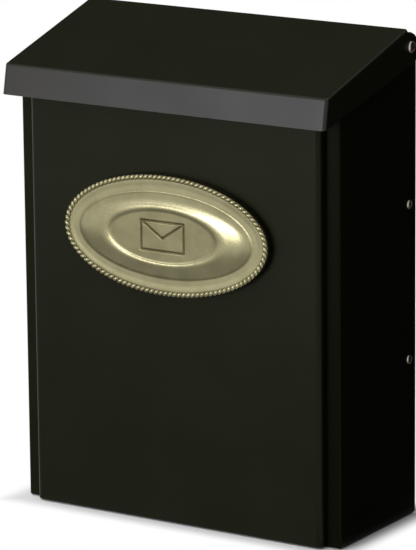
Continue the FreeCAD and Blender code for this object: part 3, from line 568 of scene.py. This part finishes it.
def geometry_tree(name, inputs):
    """An empty geometry tree with its named inputs, and what each input's socket is called."""
    tree = bpy.data.node_groups.new(name, "GeometryNodeTree")
    sockets = {}
    tree.interface.new_socket("Geometry", in_out="INPUT", socket_type="NodeSocketGeometry")
    for label, kind in inputs:
        sockets[label] = tree.interface.new_socket(label, in_out="INPUT", socket_type=kind).identifier
    tree.interface.new_socket("Geometry", in_out="OUTPUT", socket_type="NodeSocketGeometry")
    nodes = Nodes(tree)
    return nodes, nodes.add("NodeGroupInput").outputs, nodes.add("NodeGroupOutput").inputs, sockets


def finish_tree(nodes, given, out, geometry):
    """Ends a tree: realized, smooth and with its material."""
    real = nodes.add("GeometryNodeRealizeInstances", {"Geometry": geometry}).outputs[0]
    smooth = nodes.add("GeometryNodeSetShadeSmooth", {"Geometry": real}).outputs[0]
    painted = nodes.add("GeometryNodeSetMaterial", {"Geometry": smooth, "Material": given["Material"]})
    nodes.tree.links.new(painted.outputs[0], out["Geometry"])


def rope_tree():
    """Slanted strands set evenly round an oval that stands in the XZ plane."""
    nodes, given, out, sockets = geometry_tree("Rope border", [
        ("Half Length", FLOAT), ("Half Height", FLOAT), ("Place", VECTOR), ("Strands", "NodeSocketInt"),
        ("Slant", FLOAT), ("Strand", VECTOR), ("Material", "NodeSocketMaterial")])
    circle = nodes.add("GeometryNodeCurvePrimitiveCircle", {"Resolution": 720, "Radius": 1.0}).outputs[0]
    stretch = nodes.add("ShaderNodeCombineXYZ", {"X": given["Half Length"], "Y": given["Half Height"],
                                                 "Z": 1.0}).outputs[0]
    oval = nodes.add("GeometryNodeTransform", {"Geometry": circle, "Scale": stretch}).outputs[0]
    upright = nodes.add("GeometryNodeTransform", {"Geometry": oval, "Rotation": (math.pi / 2, 0, 0),
                                                  "Translation": given["Place"]}).outputs[0]
    spots = nodes.add("GeometryNodeResampleCurve", {"Curve": upright, "Count": given["Strands"]}).outputs[0]
    tangent = nodes.add("GeometryNodeInputTangent").outputs[0]
    turned = nodes.add("FunctionNodeAxesToRotation", {"Primary Axis": (0, -1, 0), "Secondary Axis": tangent},
                       primary_axis="Z", secondary_axis="X").outputs[0]
    slant = nodes.add("FunctionNodeAxisAngleToRotation", {"Axis": (0, 0, 1), "Angle": given["Slant"]})
    aslant = nodes.add("FunctionNodeRotateRotation", {"Rotation": turned, "Rotate By": slant.outputs[0]},
                       rotation_space="LOCAL").outputs[0]
    ball = nodes.add("GeometryNodeMeshUVSphere", {"Segments": 12, "Rings": 8, "Radius": 1.0}).outputs[0]
    strand = nodes.add("GeometryNodeTransform", {"Geometry": ball, "Scale": given["Strand"]}).outputs[0]
    rope = nodes.add("GeometryNodeInstanceOnPoints", {"Points": spots, "Instance": strand,
                                                      "Rotation": aslant}).outputs[0]
    finish_tree(nodes, given, out, rope)
    return nodes.tree, sockets


def rivet_tree():
    """A rivet shape set on points that know which way their heads face."""
    nodes, given, out, sockets = geometry_tree("Set rivets", [
        ("Rivet", "NodeSocketObject"), ("Material", "NodeSocketMaterial")])
    shape = nodes.add("GeometryNodeObjectInfo", {"Object": given["Rivet"]}).outputs["Geometry"]
    facing = nodes.add("GeometryNodeInputNamedAttribute", {"Name": "facing"}, data_type="FLOAT_VECTOR")
    turned = nodes.add("FunctionNodeAlignRotationToVector", {"Vector": facing.outputs["Attribute"]},
                       axis="Z").outputs[0]
    rivets = nodes.add("GeometryNodeInstanceOnPoints", {"Points": given["Geometry"], "Instance": shape,
                                                        "Rotation": turned}).outputs[0]
    finish_tree(nodes, given, out, rivets)
    return nodes.tree, sockets


def grown(name, base, tree, sockets, values):
    """The plain mesh that a tree makes from base."""
    holder = bpy.data.objects.new(name, base)
    bpy.context.scene.collection.objects.link(holder)
    modifier = holder.modifiers.new(name, "NODES")
    modifier.node_group = tree
    for label, value in values.items():
        modifier[sockets[label]] = value
    bpy.context.view_layer.update()
    graph = bpy.context.evaluated_depsgraph_get()
    mesh = bpy.data.meshes.new_from_object(holder.evaluated_get(graph), depsgraph=graph)
    bpy.data.objects.remove(holder)
    if not mesh.polygons:
        raise RuntimeError(f"{name} came out empty")
    return mesh


# Half length and half width of a strand in shares of the strands' spacing, its rise in rope widths
STRAND_LONG, STRAND_WIDE, STRAND_RISE = 0.70, 0.42, 0.40


def rope_border():
    """The rope round the plate, darker between its strands."""
    sizes = settings().plate
    tree, sockets = rope_tree()
    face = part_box("front_door")[0].y
    half_long, half_high = sizes.half_long - sizes.rope / 2, sizes.half_high - sizes.rope / 2
    girth = math.pi * (3 * (half_long + half_high)
                       - math.sqrt((3 * half_long + half_high) * (half_long + 3 * half_high)))
    pitch = girth / sizes.strands
    strand = (pitch * STRAND_LONG, pitch * STRAND_WIDE, sizes.rope * STRAND_RISE)
    mesh = grown("plate_rope", bpy.data.meshes.new("rope_seed"), tree, sockets, {
        "Half Length": half_long, "Half Height": half_high,
        "Place": (sizes.across, face - sizes.rim, sizes.centre), "Strands": sizes.strands,
        "Slant": sizes.slant, "Strand": strand, "Material": material("plate_brass")})
    place = np.zeros(len(mesh.vertices) * 3, np.float32)
    mesh.vertices.foreach_get("co", place)
    level = (face - sizes.rim - place[1::3]) / strand[2]
    shade = np.clip(0.35 - 0.9 * level, 0, 0.7)
    mesh.attributes.new("recess", "FLOAT", "POINT").data.foreach_set("value", shade.astype(np.float32))
    outward(mesh)
    return new_piece("plate_rope", mesh, "plate_brass", "door")


def lathe(name, outline, turn=40):
    """Closed shape turned round the Z axis; outline is radius and height, from the lower middle up."""
    angles = np.arange(turn) * 2 * math.pi / turn
    rings = [np.stack([radius * np.cos(angles), radius * np.sin(angles), np.full(turn, height)], 1)
             for radius, height in outline[1:-1]]
    mesh = ring_mesh(name, rings, turn, [(0, 0, outline[0][1]), (0, 0, outline[-1][1])])
    outward(mesh)
    return mesh


# Height of a rivet's dome as a share of the head's radius, its tail's length and radius as shares of the
# shank's, and the steps of the dome's arc
RIVET_RISE, TAIL_LONG, TAIL_WIDE, ARC_STEPS = 0.56, 0.6, 1.6, 7


def rivet_shape(name, head, shank, grip):
    """A set rivet: flattened tail, shank and a domed head whose underside lies on Z = 0."""
    rise, tail = head * RIVET_RISE, shank * TAIL_WIDE
    turns = [math.pi / 2 * step / ARC_STEPS for step in range(ARC_STEPS)]
    arc = [(head * math.cos(turn), rise * 0.25 + rise * 0.75 * math.sin(turn)) for turn in turns]
    end = -grip - shank * TAIL_LONG
    outline = [(0, end), (tail * 0.8, end), (tail * 0.95, end + shank * 0.2),
               (tail, end + shank * 0.4), (tail, -grip), (shank, -grip), (shank, 0), (head * 0.97, 0),
               (head, rise * 0.08), *arc, (head * 0.1, rise * 0.998), (0, rise)]
    return lathe(name, outline)


def set_rivets(name, nodes, head, shank):
    """Rivets in the places of CAD nodes, heads outwards, rusted at their lower edges."""
    places, facing = [], []
    for node in nodes:
        low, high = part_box(node)
        side = 1 if low.x > 0 else -1
        middle = (low + high) / 2
        rise = head * RIVET_RISE
        outer = high.x if side > 0 else low.x
        places.append((outer - side * rise, middle.y, middle.z))
        facing.append((side, 0, 0))
        grip = (high.x - low.x) - rise - shank * TAIL_LONG
    seed = bpy.data.meshes.new(f"{name}_places")
    seed.from_pydata(places, [], [])
    seed.attributes.new("facing", "FLOAT_VECTOR", "POINT").data.foreach_set("vector", np.ravel(facing))
    template = bpy.data.objects.new(f"{name}_template", rivet_shape(f"{name}_shape", head, shank, grip))
    bpy.context.scene.collection.objects.link(template)
    tree, sockets = rivet_tree()
    mesh = grown(name, seed, tree, sockets, {"Rivet": template, "Material": material("rivet_metal")})
    bpy.data.objects.remove(template)
    spots = np.zeros(len(mesh.vertices) * 3, np.float32)
    mesh.vertices.foreach_get("co", spots)
    spots = spots.reshape(-1, 3)
    gaps = [np.linalg.norm(spots - np.array(place), axis=1) for place in places]
    nearest = np.array(places)[np.argmin(gaps, axis=0)]
    down = (nearest[:, 2] - spots[:, 2] + 0.8 * (spots[:, 1] - nearest[:, 1])) / head
    rust = np.clip(0.35 + 0.75 * down, 0, 1)
    mesh.attributes.new("recess", "FLOAT", "POINT").data.foreach_set("value", rust.astype(np.float32))
    outward(mesh)
    piece = new_piece(name, mesh, "rivet_metal", "box")
    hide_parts(*nodes)
    return piece


# Stage

# Lamps: name, azimuth and elevation in degrees, distance, width and height; the key lamps have a colour
KEY_LAMPS = [("key", -19, 9, 2.4, 1.2, 0.36, (0.90, 0.88, 1.0)),
             ("shoulder", -15, 2, 2.4, 0.4, 0.5, (1.0, 1.0, 1.0))]
FILL_LAMPS = [("top", -30, 70, 2.2, 1.6, 1.6), ("left", -68, 30, 2.4, 1.6, 1.2)]
# The cards are met only by mirrored rays: they paint dark reflections onto the glossy paint and brass, and
# the front ground card paints a grey one
# Black cards beside and behind the box: name, azimuth and elevation, distance, width and height
BLACK_CARDS = [("card_right", 130, 4, 0.9, 2.2, 1.8), ("card_back", 225, 42, 1.5, 2.4, 2.2)]
# Cards on the floor: name, near and far corner, and how bright each one looks
GROUND_CARDS = [("card_ground_right", (0.128, -0.09), (1.4, 1.4), 0.0),
                ("card_ground_front", (-0.7, -0.60), (0.13, -0.112), 0.50)]
# Half width and half depth of the box on the floor, its middle, and how far its shadow is kept
FOOTPRINT, FOOT_MIDDLE, SHADOW_REACH = (0.124, 0.055), 0.05, 0.018
# How light the floor's paper is under the box, and how much of the light it gives back to the paint
PAPER, PAPER_BOUNCE = (0.93, 0.93, 0.93, 1), (0.30, 0.30, 0.30, 1)
# How far the floor and the cards on it lie below the box
FLOOR_DROP, CARD_DROP = 0.0005, 0.0003
# Where the room's light comes from, and how its brightness grows towards there
ROOM_LIGHT, ROOM_SPAN = (-0.72, -0.52, 0.46), (-0.2, 0.95, 0.04, 1.0)


def background_rays(nodes):
    """1 for the rays that show the background: the camera's own and those in metal and glass."""
    path = nodes.add("ShaderNodeLightPath").outputs
    seen = nodes.math("ADD", path["Is Camera Ray"], path["Is Glossy Ray"], clamp=True)
    return nodes.math("ADD", seen, path["Is Transmission Ray"], clamp=True)


def paper_material():
    """Pale paper with the box's shadow on it, that passes into plain white away from the box."""
    paper = bpy.data.materials.new("floor_paper")
    paper.use_nodes = True
    tree = paper.node_tree
    tree.nodes.clear()
    nodes = Nodes(tree)
    place = nodes.add("ShaderNodeTexCoord").outputs["Object"]
    apart = nodes.add("ShaderNodeSeparateXYZ", {0: place}).outputs
    across = nodes.math("SUBTRACT", nodes.math("ABSOLUTE", apart["X"]), FOOTPRINT[0])
    back = nodes.math("ABSOLUTE", nodes.math("ADD", apart["Y"], FOOT_MIDDLE))
    deep = nodes.math("SUBTRACT", back, FOOTPRINT[1])
    reach = nodes.math("MAXIMUM", across, deep)
    lit = nodes.add("ShaderNodeBsdfDiffuse", {"Color": PAPER}).outputs[0]
    card = nodes.add("ShaderNodeBsdfDiffuse", {"Color": PAPER_BOUNCE}).outputs[0]
    glow = nodes.add("ShaderNodeEmission", {"Color": (1, 1, 1, 1), "Strength": 1.0}).outputs[0]
    fade = nodes.span(reach, 0.0, SHADOW_REACH)
    shown = nodes.add("ShaderNodeMixShader", {0: fade, 1: lit, 2: glow}).outputs[0]
    both = nodes.add("ShaderNodeMixShader", {0: background_rays(nodes), 1: card, 2: shown}).outputs[0]
    nodes.add("ShaderNodeOutputMaterial", {"Surface": both})
    return paper


def make_world():
    """Soft room light from the front left, with a plain white ground behind the object."""
    world = bpy.data.worlds.new("studio")
    bpy.context.scene.world = world
    world.use_nodes = True
    tree = world.node_tree
    tree.nodes.clear()
    nodes = Nodes(tree)
    direction = nodes.add("ShaderNodeTexCoord").outputs["Generated"]
    aim = nodes.add("ShaderNodeVectorMath", {0: direction, 1: ROOM_LIGHT},
                    operation="DOT_PRODUCT").outputs["Value"]
    level = nodes.span(aim, *ROOM_SPAN)
    room = nodes.add("ShaderNodeBackground", {"Color": (1, 1, 1, 1), "Strength": level}).outputs[0]
    white = nodes.add("ShaderNodeBackground", {"Color": (1, 1, 1, 1), "Strength": 1.0}).outputs[0]
    both = nodes.add("ShaderNodeMixShader", {0: background_rays(nodes), 1: room, 2: white}).outputs[0]
    nodes.add("ShaderNodeOutputWorld", {"Surface": both})


def card_object(name, corners, level=0.0):
    """A sheet that only mirrored rays meet, black or as bright as its level."""
    tone = bpy.data.materials.new(name)
    tone.use_nodes = True
    tone.node_tree.nodes.clear()
    nodes = Nodes(tone.node_tree)
    shown = nodes.add("ShaderNodeEmission", {"Color": (1, 1, 1, 1), "Strength": level}).outputs[0]
    nodes.add("ShaderNodeOutputMaterial", {"Surface": shown})
    mesh = bpy.data.meshes.new(name)
    mesh.from_pydata(corners, [], [(0, 1, 2, 3)])
    mesh.materials.append(tone)
    card = bpy.data.objects.new(name, mesh)
    bpy.context.scene.collection.objects.link(card)
    card.visible_camera = False
    card.visible_diffuse = False
    card.visible_shadow = False


def towards(azimuth, elevation):
    """The direction at an azimuth and an elevation in radians; azimuth 0 is in front, 90 degrees right."""
    return Vector((math.sin(azimuth) * math.cos(elevation), -math.cos(azimuth) * math.cos(elevation),
                   math.sin(elevation)))


def black_card(name, azimuth, elevation, distance, width, height):
    """A black studio card out of the picture, that keeps the white ground off the dark paint."""
    back = towards(math.radians(azimuth), math.radians(elevation))
    frame_of_card = back.to_track_quat("Z", "Y").to_matrix()
    corners = [frame_of_card @ Vector((across * width / 2, up * height / 2, 0)) + back * distance
               for across, up in ((-1, -1), (1, -1), (1, 1), (-1, 1))]
    card_object(name, corners)


def ground_card(name, low, high, level):
    """A card that lies on the floor, out of the picture, between two corners."""
    floor = CAD_BOX[0].z - CARD_DROP
    corners = [(low[0], low[1], floor), (high[0], low[1], floor), (high[0], high[1], floor),
               (low[0], high[1], floor)]
    card_object(name, corners, level)


def area_lamp(name, azimuth, elevation, distance, width, height, radiance, glossy=True, tint=(1, 1, 1)):
    """Soft lamp aimed at the box."""
    lamp = bpy.data.lights.new(name, "AREA")
    lamp.shape = "RECTANGLE"
    lamp.size, lamp.size_y = width, height
    lamp.energy = radiance * math.pi * width * height
    lamp.color = tint
    back = towards(math.radians(azimuth), math.radians(elevation))
    holder = bpy.data.objects.new(name, lamp)
    bpy.context.scene.collection.objects.link(holder)
    holder.location = back * distance
    holder.rotation_euler = back.to_track_quat("Z", "Y").to_euler()
    holder.visible_glossy = glossy
    return holder


def make_camera():
    """The camera at the photo's place."""
    sizes = settings().stage
    roll = sizes.roll
    back = towards(sizes.azimuth, sizes.elevation)
    level = Vector((math.cos(sizes.azimuth), math.sin(sizes.azimuth), 0))
    upright = back.cross(level)
    right = math.cos(roll) * level + math.sin(roll) * upright
    up = math.cos(roll) * upright - math.sin(roll) * level
    camera = bpy.data.cameras.new("camera")
    camera.sensor_width = SENSOR
    camera.lens = sizes.focal_pixels * SENSOR / LONG_SIDE
    camera.shift_x, camera.shift_y = SHIFT
    holder = bpy.data.objects.new("camera", camera)
    bpy.context.scene.collection.objects.link(holder)
    eye = Vector(sizes.target) + back * sizes.distance
    holder.matrix_world = Matrix(((right.x, up.x, back.x, eye.x), (right.y, up.y, back.y, eye.y),
                                  (right.z, up.z, back.z, eye.z), (0, 0, 0, 1)))
    bpy.context.scene.camera = holder


def make_floor():
    """A wide pale floor just under the box."""
    radius = settings().stage.floor_radius
    level = CAD_BOX[0].z - FLOOR_DROP
    corners = [(-radius, -radius, level), (radius, -radius, level), (radius, radius, level),
               (-radius, radius, level)]
    mesh = bpy.data.meshes.new("floor")
    mesh.from_pydata(corners, [], [(0, 1, 2, 3)])
    mesh.materials.append(paper_material())
    floor = bpy.data.objects.new("floor", mesh)
    bpy.context.scene.collection.objects.link(floor)


# Operators, one for each piece or group of like pieces

class POSTBOX_OT_box(bpy.types.Operator):
    """Paint the folded box, its back panel and the header rail"""
    bl_idname = "postbox.box"
    bl_label = "Paint box"

    def execute(self, context):
        finish_nodes("box_paint", "body_wrap", "back_panel", "header_rail")
        return {"FINISHED"}


class POSTBOX_OT_lid(bpy.types.Operator):
    """Paint the sloping lid and finish its washers"""
    bl_idname = "postbox.lid"
    bl_label = "Paint lid"

    def execute(self, context):
        finish_nodes("lid_paint", "lid_hood")
        finish_nodes("washer_plastic", "lid_washer_left", "lid_washer_right")
        return {"FINISHED"}


class POSTBOX_OT_door(bpy.types.Operator):
    """Paint the drop-down door and finish its hinge pin, catch and push nuts"""
    bl_idname = "postbox.door"
    bl_label = "Paint door"

    def execute(self, context):
        finish_nodes("door_paint", "front_door")
        finish_nodes("plated_steel", "hinge_pin", "door_catch", "push_nut_left", "push_nut_right")
        return {"FINISHED"}


class POSTBOX_OT_lock(bpy.types.Operator):
    """Finish the cam lock"""
    bl_idname = "postbox.lock"
    bl_label = "Finish lock"

    def execute(self, context):
        finish_nodes("lock_metal", "lock_barrel", "lock_plug")
        finish_nodes("plated_steel", "lock_washer", "lock_nut", "lock_cam", "cam_screw")
        return {"FINISHED"}


class POSTBOX_OT_plate(bpy.types.Operator):
    """Build the domed oval plate with its rope border"""
    bl_idname = "postbox.plate"
    bl_label = "Build plate"

    def execute(self, context):
        dish = plate_dish()
        rope_border()
        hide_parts("name_plate")
        return {"FINISHED"}


class POSTBOX_OT_rivets(bpy.types.Operator):
    """Set the lid pivots and the side rivets"""
    bl_idname = "postbox.rivets"
    bl_label = "Set rivets"

    def execute(self, context):
        sizes = settings().rivets
        set_rivets("pivot_rivets", ["lid_rivet_left", "lid_rivet_right"], sizes.pivot_head, sizes.pivot_shank)
        set_rivets("side_rivets", ["side_rivet_left_lower", "side_rivet_left_upper", "side_rivet_right_lower",
                                   "side_rivet_right_upper"], sizes.side_head, sizes.side_shank)
        return {"FINISHED"}


class POSTBOX_OT_stage(bpy.types.Operator):
    """Set the floor, the lamps and the camera"""
    bl_idname = "postbox.stage"
    bl_label = "Set stage"

    def execute(self, context):
        sizes = settings().stage
        make_world()
        make_floor()
        for *lamp, tint in KEY_LAMPS:
            area_lamp(*lamp, sizes.key, tint=tint)
        for lamp in FILL_LAMPS:
            area_lamp(*lamp, sizes.fill, glossy=False)
        for card in BLACK_CARDS:
            black_card(*card)
        for card in GROUND_CARDS:
            ground_card(*card)
        make_camera()
        bpy.context.scene.view_settings.view_transform = "Standard"
        return {"FINISHED"}


class POSTBOX_PT_panel(bpy.types.Panel):
    """Sizes, finishes and the operators that build the post box"""
    bl_idname = "POSTBOX_PT_panel"
    bl_label = "Post box"
    bl_space_type = "VIEW_3D"
    bl_region_type = "UI"
    bl_category = "Post box"

    def draw(self, context):
        scene = settings()
        for group in (scene.plate, scene.rivets, scene.finish, scene.stage):
            box = self.layout.box()
            for name in group.bl_rna.properties.keys():
                if name not in ("rna_type", "name"):
                    box.prop(group, name)
        for kind in OPERATORS:
            self.layout.operator(kind.bl_idname)


OPERATORS = (POSTBOX_OT_box, POSTBOX_OT_lid, POSTBOX_OT_door, POSTBOX_OT_lock, POSTBOX_OT_plate,
             POSTBOX_OT_rivets, POSTBOX_OT_stage)
CLASSES = (PlateSizes, RivetSizes, Finishes, StageSizes, Settings, *OPERATORS, POSTBOX_PT_panel)


def register():
    for kind in CLASSES:
        bpy.utils.register_class(kind)
    bpy.types.Scene.post_box = PointerProperty(type=Settings)


def unregister():
    del bpy.types.Scene.post_box
    for kind in reversed(CLASSES):
        bpy.utils.unregister_class(kind)


def main():
    register()
    bpy.ops.postbox.box()
    bpy.ops.postbox.lid()
    bpy.ops.postbox.door()
    bpy.ops.postbox.lock()
    bpy.ops.postbox.plate()
    bpy.ops.postbox.rivets()
    bpy.ops.postbox.stage()


if __name__ == "__main__":
    main()
